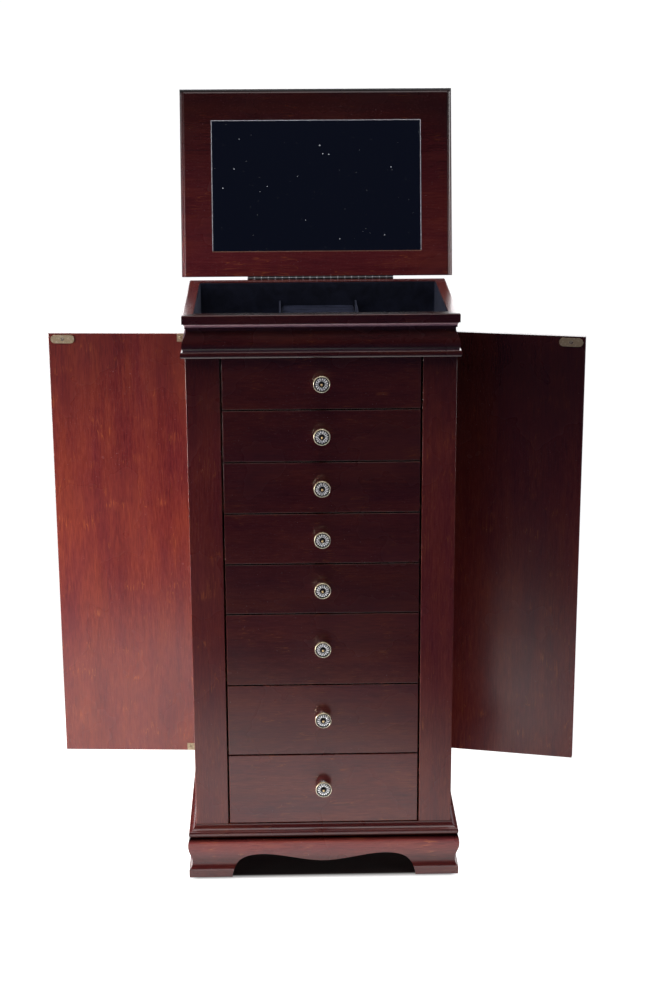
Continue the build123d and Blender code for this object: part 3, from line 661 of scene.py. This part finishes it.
def knob_mesh():
    """The knob, turned from its profile in millimetres of radius and height, with petals on its face."""
    below = ((0, 0), (8.2, 0), (8.5, 0.3), (8.5, 1.0), (8.1, 1.5), (6.9, 2.0), (6.1, 3.0), (5.5, 4.6),
             (5.2, 6.4), (5.4, 8.0), (6.4, 9.7), (8.6, 11.4), (11.2, 12.8), (13.2, 14.1), (14.1, 15.3),
             (14.3, 16.3), (14.25, 17.6), (14.1, 18.9), (13.8, 19.8), (13.4, 20.3), (13.0, 20.3),
             (12.7, 19.8), (12.5, 18.9), (12.3, 18.3), (12.0, 18.0), (11.3, 18.0))
    step = 0.28
    rings = int((PETAL_OUTER - PETAL_INNER) / (step * MM)) + 1
    face = [(PETAL_OUTER / MM - step * k, KNOB_FACE / MM) for k in range(rings)]
    nub = ((4.6, 18.2), (3.6, 18.2), (2.9, 18.6), (2.6, 19.6), (2.5, 20.8), (2.3, 22.0), (2.0, 22.8),
           (1.6, 23.3), (1.1, 23.5), (0.5, 23.6), (0, 23.6))
    profile = [(r * MM, h * MM) for r, h in (*below, *face, *nub)]
    return turned_solid(profile, PETALS * 12, petal)


knob_vertices, knob_faces = knob_mesh()
for number in range(1, 9):
    low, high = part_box(f"drawer_{number}_knob")
    knob = make_piece(f"knob_{number}", knob_vertices, knob_faces, nickel)
    centre = Vector(((low.x + high.x) / 2, high.y, (low.z + high.z) / 2))
    knob.matrix_world = pointing((0, -1, 0), centre, roll=0.37 * number)
    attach(knob, f"drawer_{number}")
    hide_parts(f"drawer_{number}_knob")


# ---------------------------------------------------------------- velvet trays
def rounded_rectangle(x_low, x_high, y_low, y_high, radius, steps=5):
    """Points round a rectangle with rounded corners, with extra points along its sides."""
    corners = ((x_high, y_high, 0), (x_low, y_high, 90), (x_low, y_low, 180), (x_high, y_low, 270))
    turns = []
    for x, y, start in corners:
        cx = x - radius if x == x_high else x + radius
        cy = y - radius if y == y_high else y + radius
        angles = [math.radians(start + 90 * k / steps) for k in range(steps + 1)]
        turns.append([(cx + radius * math.cos(a), cy + radius * math.sin(a)) for a in angles])
    points = []
    sides = 24
    for index, turn in enumerate(turns):
        points += turn
        ahead = turns[(index + 1) % 4][0]
        here = turn[-1]
        points += [(here[0] + (ahead[0] - here[0]) * k / sides, here[1] + (ahead[1] - here[1]) * k / sides)
                   for k in range(1, sides)]
    return points


def velvet_tray(name, low, high, wall, floor, material, seed):
    """A soft-lined tray: outer wall, rolled lip, inner wall, coved corner and a slightly puffy floor."""
    draw = random.Random(seed)
    x0, y0, z0 = low
    x1, y1, z1 = high
    lip = wall / 2
    shoulder = z1 - z0 - lip
    rings = [(0.0, 0.0), (0.0, shoulder)]
    angles = [math.radians(a) for a in (30, 60, 90, 120, 150, 180)]
    rings += [(lip - lip * math.cos(a), shoulder + lip * math.sin(a)) for a in angles]
    cove = 3 * MM
    rings += [(wall, floor + cove + (shoulder - floor - cove) * k / 8) for k in (6, 4, 2, 0)]
    angles = [math.radians(a) for a in (22, 45, 67, 90)]
    rings += [(wall + cove - cove * math.cos(a), floor + cove - cove * math.sin(a)) for a in angles]
    half = min(x1 - x0, y1 - y0) / 2
    inward = wall + cove
    while inward < half * 0.97:
        inward = min(inward + max(4 * MM, inward * 0.18), half * 0.97)
        rings.append((inward, floor + 0.4 * MM * math.sin(inward / half * 3)))
    vertices = []
    for inset, height in rings:
        corner = max(2 * MM + wall - inset, 1.5 * MM) if inset < wall + cove else 2 * MM
        loop = rounded_rectangle(x0 + inset, x1 - inset, y0 + inset, y1 - inset, corner)
        count = len(loop)
        for x, y in loop:
            puff = draw.uniform(-0.12, 0.12) * MM if wall < inset else 0.0
            vertices.append((x, y, z0 + height + puff))
    faces = joined_rings(len(rings), count)
    faces.append(tuple(range((len(rings) - 1) * count, len(rings) * count)))
    faces.append(tuple(reversed(range(count))))
    return make_piece(name, vertices, faces, material)


low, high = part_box("top_box_lining")
tray_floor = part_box("ring_roll_bed")[0].z - low.z
lining = velvet_tray("tray_lining", low, high, 1.6 * MM, tray_floor, velvet_lining, 3)
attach(lining, "case")
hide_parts("top_box_lining")


def soft_board(name, low, high, material, seed):
    """A thin board wrapped in velvet: rounded edges and a slightly uneven face."""
    draw = random.Random(seed)
    cuts_y, cuts_z = 40, 8
    thick = high.x - low.x
    profile = []
    r = 1.2 * MM
    for a in (180, 150, 120, 90, 60, 30, 0):
        profile.append((low.x + thick / 2 + (thick / 2) * math.cos(math.radians(a)),
                        high.z - r + r * math.sin(math.radians(a))))
    left = [(low.x, low.z + (high.z - r - low.z) * k / cuts_z) for k in range(cuts_z)]
    right = [(high.x, z) for _, z in reversed(left)]
    section = left + profile + right
    vertices, faces = [], []
    count = len(section)
    for step in range(cuts_y + 1):
        y = low.y + (high.y - low.y) * step / cuts_y
        wave = 0.18 * MM * math.sin(step * 0.7 + seed) * (1 if 0 < step < cuts_y else 0)
        for x, z in section:
            up = (z - low.z) / (high.z - low.z)
            vertices.append((x + wave * up, y, z - draw.uniform(0, 0.1) * MM * up))
    for a in range(0, cuts_y * count, count):
        for k in range(count):
            after = (k + 1) % count
            faces.append((a + k, a + count + k, a + count + after, a + after))
    faces.append(tuple(range(count)))
    faces.append(tuple(reversed(range(cuts_y * count, (cuts_y + 1) * count))))
    return make_piece(name, vertices, faces, material)


low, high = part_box("tray_dividers")
DIVIDER = 3 * MM
for side, x0 in (("left", low.x), ("right", high.x - DIVIDER)):
    board = soft_board(f"tray_divider_{side}", Vector((x0, low.y, low.z)),
                       Vector((x0 + DIVIDER, high.y, high.z)), velvet_lining, 5)
    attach(board, "case")
    if side == "left":
        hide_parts("tray_dividers")


# ---------------------------------------------------------------- ring rolls
ROLLS = 20
# a roll is only 14 mm wide, so the cloth simulation runs on one at this scale
SIMULATED_SCALE = 5.0


def evaluated(piece):
    """A new mesh of the piece with its modifiers applied."""
    bpy.context.view_layer.update()
    graph = bpy.context.evaluated_depsgraph_get()
    return bpy.data.meshes.new_from_object(piece.evaluated_get(graph))


def swollen(piece, voxel, cap, pressure=4.0, last_frame=20):
    """Remeshes a closed pad and swells it with cloth under pressure."""
    scene = bpy.context.scene
    remesh = add_modifier(piece, "REMESH", mode="VOXEL", voxel_size=voxel)
    piece.data = evaluated(piece)
    piece.modifiers.remove(remesh)
    before = [vertex.co.copy() for vertex in piece.data.vertices]
    cloth = add_modifier(piece, "CLOTH")
    cloth.settings.use_pressure = True
    cloth.settings.uniform_pressure_force = pressure
    cloth.settings.effector_weights.gravity = 0.0
    cloth.point_cache.frame_end = last_frame
    for number in range(1, last_frame + 1):
        scene.frame_set(number)
    after = evaluated(piece)
    for vertex, was, now in zip(piece.data.vertices, before, after.vertices):
        move = now.co - was
        vertex.co = was + move * min(1.0, cap / max(move.length, 1e-9))
    piece.modifiers.remove(cloth)
    scene.frame_set(1)
    smoother = add_modifier(piece, "SUBSURF", levels=1, render_levels=1)
    piece.data = evaluated(piece)
    piece.modifiers.remove(smoother)
    piece.data.shade_smooth()


def roll_blank(length, half_w, height):
    """One roll before it is stuffed: a bar along X, soft at its corners and narrower at its ends."""
    around, along = 24, 60
    vertices = []
    for step in range(along + 1):
        t = step / along
        fall = min(1.0, min(t, 1 - t) * length / half_w)
        size = 0.66 + 0.34 * math.sqrt(max(0.0, 1 - (1 - fall) ** 2))
        for k in range(around):
            angle = 2 * math.pi * k / around
            across, up = math.cos(angle), math.sin(angle)
            y = math.copysign(abs(across) ** 0.75, across) * half_w * size
            z = math.copysign(abs(up) ** 0.75, up) * height / 2 * size
            vertices.append(((t - 0.5) * length, y, z + height / 2 * size))
    faces = joined_rings(along + 1, around)
    faces.append(tuple(reversed(range(around))))
    faces.append(tuple(range(along * around, (along + 1) * around)))
    return vertices, faces


low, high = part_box("ring_roll_bed")
pitch = (high.y - low.y) / ROLLS
slack = 0.35 * MM
blank_size = (high.x - low.x - 2 * slack, pitch / 2 - slack, high.z - low.z - 2 * slack)
vertices, faces = roll_blank(*(size * SIMULATED_SCALE for size in blank_size))
blank = make_piece("ring_roll_blank", vertices, faces, velvet_rolls)
swollen(blank, 1.5 * MM * SIMULATED_SCALE, slack * 0.95 * SIMULATED_SCALE)
blank.data.transform(Matrix.Scale(1 / SIMULATED_SCALE, 4))
centre_x = (low.x + high.x) / 2
for index in range(ROLLS):
    draw = random.Random(100 + index)
    mesh = blank.data.copy()
    mesh.name = f"ring_roll_{index + 1}"
    turn = Matrix.Rotation(math.pi, 4, "Z") if index % 2 else Matrix.Identity(4)
    lean = draw.uniform(0.4, 0.9) * MM
    wave = draw.uniform(0, 6)
    for vertex in mesh.vertices:
        vertex.co = turn @ vertex.co
        up = vertex.co.z / blank_size[2]
        vertex.co.z -= lean * 0.25 * up * (1 + math.sin(vertex.co.x * 90 + wave))
    mesh.transform(Matrix.Translation((centre_x, low.y + (index + 0.5) * pitch, low.z + slack)))
    roll = bpy.data.objects.new(f"ring_roll_{index + 1}", mesh)
    bpy.context.scene.collection.objects.link(roll)
    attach(roll, "case")
    if index == 0:
        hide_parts("ring_roll_bed")
bpy.data.objects.remove(blank)


# ---------------------------------------------------------------- drawer linings
BOX_WALL = 9 * MM
BOX_FLOOR = 7 * MM
for number in range(1, 9):
    low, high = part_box(f"drawer_{number}_box")
    low = Vector((low.x + BOX_WALL, low.y + BOX_WALL, low.z + BOX_FLOOR))
    high = Vector((high.x - BOX_WALL, high.y - BOX_WALL, high.z - 3 * MM))
    lining = velvet_tray(f"drawer_{number}_lining", low, high, 1.2 * MM, 1.2 * MM, velvet_drawers,
                         20 + number)
    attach(lining, f"drawer_{number}")


# ---------------------------------------------------------------- small fittings
def cross_recess(radius, height, angle, size):
    """Sinks the cross of a screw's head."""
    across = min(abs(radius * math.sin(angle)), abs(radius * math.cos(angle)))
    if height > 0 and radius < 0.62 * size and across < 0.15 * size:
        height -= 0.34 * size
    return radius, height


def screw(name, size, proud, matrix, body, material):
    """A cross-head screw of that radius, its head standing proud of its matrix's z = 0 by that much."""
    profile = [(0, -0.3 * proud), (size, -0.3 * proud), (size, 0.0)]
    angles = [math.radians(a) for a in (12, 25, 38, 50)]
    profile += [(size * math.cos(a), proud * math.sin(a)) for a in angles]
    reach = size * math.cos(angles[-1])
    steps = 7
    outward = [1 - k / steps for k in range(1, steps)]
    profile += [(reach * out, proud * (1 - 0.23 * out ** 2)) for out in outward]
    profile.append((0, proud * 0.66))
    vertices, faces = turned_solid(profile, 48, lambda r, h, a: cross_recess(r, h, a, size))
    piece = make_piece(name, vertices, faces, material)
    piece.matrix_world = matrix
    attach(piece, body)


# where the fittings are with the doors shut: X of a face, then Y and Z, or Y alone, in metres
STRIKE_FACE = 0.2113
STRIKE_PLACE = (-0.0798, 0.9088)
DOOR_LEAF_FACE = 0.2115
DOOR_LEAF_SCREW_Y = 0.1321
CASE_LEAF_FACE = 0.2255
CASE_LEAF_SCREW_Y = 0.1566
CASE_SCREW_LIFT = 3.6 * MM
HINGE_MIDDLES = (0.119, 0.912)
for side, sign, shut in (("left", -1, LEFT_SHUT), ("right", 1, RIGHT_SHUT)):
    inward, door = (-sign, 0, 0), f"door_{side}"
    place = pointing(inward, (sign * STRIKE_FACE, *STRIKE_PLACE), roll=0.5)
    screw(f"{side}_strike_screw", 3.1 * MM, 0.2 * MM, at_rest(shut, place), door, steel)
    for index, z in enumerate(HINGE_MIDDLES):
        number = index + 1
        place = pointing(inward, (sign * DOOR_LEAF_FACE, DOOR_LEAF_SCREW_Y, z), roll=0.9 + index)
        screw(f"{side}_door_hinge_screw_{number}", 2.7 * MM, 0.7 * MM, at_rest(shut, place), door, brass)
        for word, lift in (("low", -CASE_SCREW_LIFT), ("high", CASE_SCREW_LIFT)):
            place = (sign * CASE_LEAF_FACE, CASE_LEAF_SCREW_Y, z + lift)
            place = pointing((sign, 0, 0), place, roll=0.4 + lift * 300)
            screw(f"{side}_case_hinge_screw_{number}_{word}", 1.5 * MM, 0.45 * MM, place, "case", brass)

PIANO_SCREWS = 6
CASE_ROW_DROP = 8.6 * MM
LID_ROW_RISE = 8.0 * MM
LEAF_THICKNESS = 1.5 * MM
for index in range(PIANO_SCREWS):
    x = PIANO_LOW.x + (PIANO_HIGH.x - PIANO_LOW.x) * (index + 0.5) / PIANO_SCREWS
    pin_z = (PIANO_LOW.z + PIANO_HIGH.z) / 2
    leaf_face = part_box("piano_hinge_case_leaf")[0].y + LEAF_THICKNESS
    place = pointing((0, 1, 0), (x, leaf_face, pin_z - CASE_ROW_DROP), roll=index * 1.3)
    screw(f"piano_case_screw_{index + 1}", 2.3 * MM, 0.6 * MM, place, "case", steel)
    place = pointing((0, 1, 0), (x, leaf_face, pin_z + LID_ROW_RISE), roll=index * 0.8)
    screw(f"piano_lid_screw_{index + 1}", 2.3 * MM, 0.6 * MM, at_rest(LID_SHUT, place), "lid", steel)


def brads(name, places, material):
    """Small domed nail heads on the back panel, as one piece."""
    vertices, faces = [], []
    profile = ((0, -0.1), (1.6, -0.1), (1.6, 0.1), (1.2, 0.4), (0.6, 0.55), (0, 0.6))
    profile = [(r * MM, h * MM) for r, h in profile]
    for place in places:
        own, own_faces = turned_solid(profile, 14)
        matrix = pointing((0, 1, 0), place)
        start = len(vertices)
        vertices += [matrix @ Vector(v) for v in own]
        faces += [tuple(start + k for k in face) for face in own_faces]
    piece = make_piece(name, vertices, faces, material)
    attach(piece, "case")


low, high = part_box("back_panel")
EDGE_GAP = 9 * MM
CORNER_GAP = 36 * MM
rows, columns = 9, 4
x0, x1, z0, z1 = low.x + CORNER_GAP, high.x - CORNER_GAP, low.z + EDGE_GAP, high.z - EDGE_GAP
places = [(x, high.y, z0 + (z1 - z0) * k / rows) for k in range(rows + 1) for x in (x0, x1)]
places += [(x0 + (x1 - x0) * k / columns, high.y, z) for k in range(1, columns) for z in (z0, z1)]
brads("back_brads", places, steel)


def glass_edge():
    """A thin bright strip round the mirror, over the glass's chamfer."""
    low, high = shut_box("mirror", LID_SHUT)
    rings = ((0.1, 1.0), (0.1, 0.2), (0.4, -0.15), (1.3, -0.15), (1.4, 0.1))
    vertices = []
    for inset, rise in rings:
        x0, x1 = low.x + inset * MM, high.x - inset * MM
        y0, y1 = low.y + inset * MM, high.y - inset * MM
        vertices += [(x, y, low.z + rise * MM) for x, y in ((x1, y1), (x0, y1), (x0, y0), (x1, y0))]
    ground = mirror_edge("mirror_ground_edge", high.y - 2 * MM)
    piece = make_piece("mirror_edge", vertices, joined_rings(len(rings), 4), ground, smooth=False)
    piece.matrix_world = at_rest(LID_SHUT)
    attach(piece, "lid")


glass_edge()


# ---------------------------------------------------------------- floor, light and camera
FOOT_HALF_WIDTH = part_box("foot_glides")[1].x
FOOT_HALF_DEPTH = -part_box("foot_glides")[0].y
BRIGHT_PATCH = (-0.32, -0.18, 0.0)
PATCH_EDGE = (0.45, 1.08)
FLOOR_GLOW = 1.15
FLOOR_BOUNCE = 0.40
PAINTED_SHADOW_UNDER_CASE = (0.034, 0.014, 0.013)
DIM_STUDIO = (0.036, 0.031, 0.074)
WHITE_TO_CAMERA = 1.05
STUDIO_FRONT_TO_BACK = ((0.0, (0.003, 0.004, 0.009)), (0.30, (0.005, 0.006, 0.011)),
                        (0.55, (0.035, 0.035, 0.04)), (1.0, (0.30, 0.30, 0.31)))
BACKDROP_REFLECTED = ((0.0, (0.003, 0.004, 0.009)), (0.30, (0.008, 0.009, 0.014)),
                      (0.56, (0.10, 0.10, 0.11)), (0.66, (1.1, 1.1, 1.15)))
STUDIO_OVERHEAD = ((0.0, (0.0, 0.0, 0.0)), (0.5, (0.001, 0.001, 0.002)), (0.8, (0.03, 0.03, 0.035)),
                   (1.0, (0.10, 0.10, 0.11)))


def build_floor():
    """A pale round floor with a painted shadow under the case, and glowing bright round it. Farther off it
    fades to a dim studio, except to the camera."""
    s = Shader("studio_floor")
    place = s.place()
    parts = s.parts(place)
    across = s.math("SUBTRACT", s.math("ABSOLUTE", parts[0]), FOOT_HALF_WIDTH)
    along = s.math("SUBTRACT", s.math("ABSOLUTE", parts[1]), FOOT_HALF_DEPTH + 10 * MM)
    outside = s.between(s.math("MAXIMUM", across, along), -12 * MM, 12 * MM)
    tooth = s.noise(place, 300.0, detail=3.0)
    tint = s.mix(tooth, (0.78, 0.78, 0.78), (0.82, 0.82, 0.82))
    # painted shadow: the floor goes near black under the case, where it also does not glow
    tint = s.mix(outside, PAINTED_SHADOW_UNDER_CASE, tint)
    diffuse_ray = s.node("LightPath").outputs["Is Diffuse Ray"]
    near = s.between(s.vector_math("LENGTH", place), 0.34, 0.72, FLOOR_BOUNCE, 0.15)
    seen = s.math("MULTIPLY", s.math("SUBTRACT", 1.0, diffuse_ray), FLOOR_GLOW)
    glow = s.math("ADD", seen, s.math("MULTIPLY", near, diffuse_ray))
    s.surface(Base_Color=tint, Roughness=0.75, Emission_Color=(1, 1, 1),
              Emission_Strength=s.math("MULTIPLY", outside, glow))
    dim = s.node("Emission")
    s.put(dim.inputs["Color"], DIM_STUDIO)
    white = s.node("Emission")
    white.inputs["Strength"].default_value = WHITE_TO_CAMERA
    away = s.mix_shaders(s.node("LightPath").outputs["Is Camera Ray"], dim, white)
    fade = s.node("MapRange", interpolation_type="SMOOTHSTEP")
    s.put(fade.inputs["Value"], s.vector_math("DISTANCE", place, BRIGHT_PATCH))
    fade.inputs["From Min"].default_value, fade.inputs["From Max"].default_value = PATCH_EDGE
    both = s.mix_shaders(s.math("MULTIPLY", fade.outputs["Result"], outside), s.bsdf, away)
    s.link(both.outputs[0], s.output.inputs["Surface"])
    rings, spokes = (0.5, 1, 2, 4, 8, 16, 30), 64
    vertices = [(0, 0, 0)]
    faces = []
    for radius in rings:
        turns = [2 * math.pi * k / spokes for k in range(spokes)]
        vertices += [(radius * math.cos(turn), radius * math.sin(turn), 0) for turn in turns]
    for k in range(spokes):
        after = (k + 1) % spokes
        faces.append((0, 1 + k, 1 + after))
        for ring in range(len(rings) - 1):
            a, b = 1 + ring * spokes, 1 + (ring + 1) * spokes
            faces.append((a + k, b + k, b + after, a + after))
    floor = make_piece("floor", vertices, faces, s.material, smooth=False)


def build_world():
    """White to the camera. To everything else, a studio dim and bluish in front and brighter behind."""
    world = bpy.data.worlds.new("studio")
    bpy.context.scene.world = world
    world.use_nodes = True
    world.node_tree.nodes.clear()
    s = Nodes(world.node_tree)
    parts = s.parts(s.node("TexCoord").outputs["Generated"])
    path = s.node("LightPath")
    soft = s.ramp(s.between(parts["Y"], -1, 1), *STUDIO_FRONT_TO_BACK)
    backdrop = s.ramp(s.between(parts["Y"], -1, 1), *BACKDROP_REFLECTED)
    front_to_back = s.mix(path.outputs["Is Glossy Ray"], soft, backdrop)
    upward = s.ramp(s.between(parts["Z"], 0, 1), *STUDIO_OVERHEAD)
    studio, white = s.node("Background"), s.node("Background")
    s.put(studio.inputs["Color"], s.mix(1.0, front_to_back, upward, blend="ADD"))
    s.put(white.inputs["Color"], (1, 1, 1))
    white.inputs["Strength"].default_value = WHITE_TO_CAMERA
    both = s.mix_shaders(path.outputs["Is Camera Ray"], studio, white)
    s.link(both.outputs[0], s.node("OutputWorld").inputs["Surface"])


def area_light(name, place, target, width, height, power, colour=(1, 1, 1), spread=180.0, reflected=True):
    light = bpy.data.lights.new(name, "AREA")
    light.shape = "RECTANGLE"
    light.size, light.size_y, light.energy, light.color = width, height, power, colour
    light.spread = math.radians(spread)
    lamp = bpy.data.objects.new(name, light)
    lamp.location = place
    lamp.rotation_euler = (Vector(target) - Vector(place)).to_track_quat("-Z", "Y").to_euler()
    lamp.visible_glossy = reflected
    bpy.context.scene.collection.objects.link(lamp)
    return lamp


build_floor()
build_world()
area_light("key_upper_left", (-1.7, -0.38, 2.2), (0.0, -0.1, 0.6), 0.6, 1.2, 24,
           (1.0, 0.97, 0.95), reflected=False)
area_light("softbox_left", (-1.9, -0.2, 0.56), (-0.2, 0.05, 0.50), 0.4, 0.7, 6.4,
           (1.0, 0.96, 0.93), spread=55)
area_light("softbox_right", (1.9, 0.3, 0.9), (0.1, 0.1, 0.5), 0.4, 1.4, 6,
           (1.0, 0.98, 0.97), spread=110)
area_light("overhead", (0.0, -0.25, 3.0), (0, -0.25, 0), 2.0, 2.2, 30, spread=150)
for side in (-1, 1):
    word = "left" if side < 0 else "right"
    glint = area_light(f"glint_{word}", (2.6 * side, -2.2, 1.3), (0.0, -0.1, 0.6), 1.0, 1.3, 22)
    glint.visible_diffuse = False
area_light("back_light", (0.0, 3.2, 1.6), (0, 0, 0.5), 2.6, 1.6, 30)

CAMERA_PLACE = Vector((-0.0633, -3.3668, 1.6513))
CAMERA_FORWARD = Vector((0.02416, 0.95796, -0.28589))
CAMERA_ROLL = 0.2
camera_data = bpy.data.cameras.new("camera")
camera_data.sensor_width = 36.0
camera_data.lens = 71.66
camera_data.clip_start = 0.05
camera_data.clip_end = 100
camera = bpy.data.objects.new("camera", camera_data)
bpy.context.scene.collection.objects.link(camera)
bpy.context.scene.camera = camera
look = CAMERA_FORWARD.to_track_quat("-Z", "Y").to_matrix().to_4x4()
roll = Matrix.Rotation(math.radians(-CAMERA_ROLL), 4, "Z")
camera.matrix_world = Matrix.Translation(CAMERA_PLACE) @ look @ roll
bpy.context.scene.view_settings.view_transform = "Standard"
